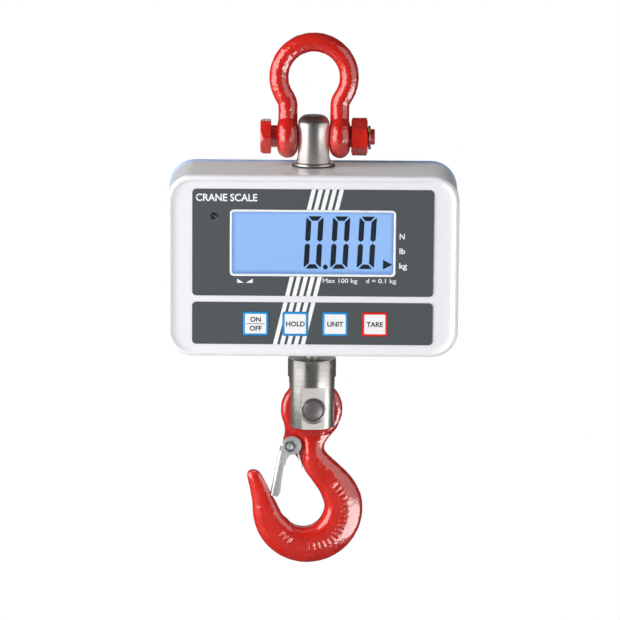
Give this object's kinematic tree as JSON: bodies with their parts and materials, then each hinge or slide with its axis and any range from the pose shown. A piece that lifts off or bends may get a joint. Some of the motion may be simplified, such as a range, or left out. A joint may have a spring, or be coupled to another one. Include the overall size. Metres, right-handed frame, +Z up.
{
  "type": "crane scale",
  "caption": "Hanging crane scale with a boxed display and key panel, a bow shackle on a stud above, and a latched safety hook in a swivel clevis below.",
  "frame": {"origin": "seat inside the shackle bow's crown, where the scale hangs, on the load line through the stud, load cell, clevis and hook eye", "axes": "+Z up along the load line, -Y the way the display faces, +X to the viewer's right"},
  "size_m": [0.1672, 0.064, 0.3114],
  "materials": {
    "red_paint": "gloss red enamel over forged steel",
    "stainless_steel": "turned and lightly brushed",
    "zinc_plated_steel": "bright zinc plate",
    "dark_steel": "blackened, dull",
    "brass": "dull",
    "aluminium": "milled",
    "white_plastic": "fine satin",
    "grey_plastic": "satin gloss",
    "black_plastic": "moulded",
    "black_rubber": "matt",
    "blue_silicone": "matt",
    "grey_film": "printed polyester film",
    "key_film": "printed film over moulded cap",
    "clear_acrylic": "polished",
    "display_glass": "lit liquid crystal glass",
    "light_guide": "diffusing",
    "circuit_board": "solder mask",
    "battery_sleeve": "printed sleeve, left blank",
    "cable_jacket": "soft jacket"
  },
  "bodies": {
    "weighing_head": {"front_cover": "white_plastic", "display_overlay": "grey_film", "keypad_overlay": "grey_film", "window_frame": "white_plastic", "window_lens": "clear_acrylic", "display_glass": "display_glass", "display_backlight": "light_guide", "display_holder": "black_plastic", "main_board": "circuit_board", "status_led": "clear_acrylic", "switch_on_off": "black_plastic", "switch_hold": "black_plastic", "switch_unit": "black_plastic", "switch_tare": "black_plastic", "middle_case": "grey_plastic", "case_seal": "blue_silicone", "rear_cover": "grey_plastic", "case_screw_upper_left": "zinc_plated_steel", "case_screw_upper_right": "zinc_plated_steel", "case_screw_lower_left": "zinc_plated_steel", "case_screw_lower_right": "zinc_plated_steel", "battery_1": "battery_sleeve", "battery_2": "battery_sleeve", "battery_3": "battery_sleeve", "battery_tray": "black_plastic", "battery_contacts_upper": "zinc_plated_steel", "battery_contacts_lower": "zinc_plated_steel", "load_cell": "aluminium", "upper_stud": "stainless_steel", "stud_collar": "stainless_steel", "stud_gasket": "black_rubber", "upper_lock_nut": "zinc_plated_steel", "swivel_bolt": "stainless_steel", "lower_bush": "black_rubber", "lower_lock_nut": "zinc_plated_steel", "load_cell_cable": "cable_jacket", "battery_cable": "cable_jacket"},
    "battery_door": {"battery_door": "grey_plastic"},
    "key_on_off": {"key_on_off": "key_film"},
    "key_hold": {"key_hold": "key_film"},
    "key_unit": {"key_unit": "key_film"},
    "key_tare": {"key_tare": "key_film"},
    "shackle": {"shackle_bow": "red_paint"},
    "shackle_bolt": {"shackle_bolt": "red_paint", "shackle_nut": "red_paint", "shackle_cotter": "brass"},
    "swivel": {"clevis": "stainless_steel", "clevis_pin": "dark_steel", "thrust_washer": "brass"},
    "hook": {"hook": "red_paint", "latch_rivet": "zinc_plated_steel", "latch_spring": "zinc_plated_steel"},
    "latch": {"latch": "zinc_plated_steel"}
  },
  "joints": [
    {"name": "shackle_swing", "type": "hinge", "parent": "weighing_head", "child": "shackle", "pos_m": [0, 0, -0.04888], "axis": [1, 0, 0], "range_deg": [-110, 104]},
    {"name": "shackle_bolt_spin", "type": "hinge", "parent": "shackle", "child": "shackle_bolt", "pos_m": [0, 0, -0.04888], "axis": [1, 0, 0], "continuous": true},
    {"name": "hook_swivel", "type": "hinge", "parent": "weighing_head", "child": "swivel", "pos_m": [0, 0, -0.18388], "axis": [0, 0, 1], "continuous": true},
    {"name": "hook_swing", "type": "hinge", "parent": "swivel", "child": "hook", "pos_m": [0, 0, -0.20788], "axis": [-0.0785, 0.9969, 0], "range_deg": [-85, 85]},
    {"name": "latch_open", "type": "hinge", "parent": "hook", "child": "latch", "pos_m": [-0.01286, -0.00101, -0.23009], "axis": [0.0785, -0.9969, 0], "range_deg": [0, 44], "deforming": ["latch_spring"]},
    {"name": "key_on_off_press", "type": "slide", "parent": "weighing_head", "child": "key_on_off", "axis": [0, 1, 0], "range_m": [0, 0.0005]},
    {"name": "key_hold_press", "type": "slide", "parent": "weighing_head", "child": "key_hold", "axis": [0, 1, 0], "range_m": [0, 0.0005]},
    {"name": "key_unit_press", "type": "slide", "parent": "weighing_head", "child": "key_unit", "axis": [0, 1, 0], "range_m": [0, 0.0005]},
    {"name": "key_tare_press", "type": "slide", "parent": "weighing_head", "child": "key_tare", "axis": [0, 1, 0], "range_m": [0, 0.0005]},
    {"name": "battery_door_lift", "type": "slide", "parent": "weighing_head", "child": "battery_door", "axis": [0, 1, 0], "range_m": [0, 0.02]}
  ]
}
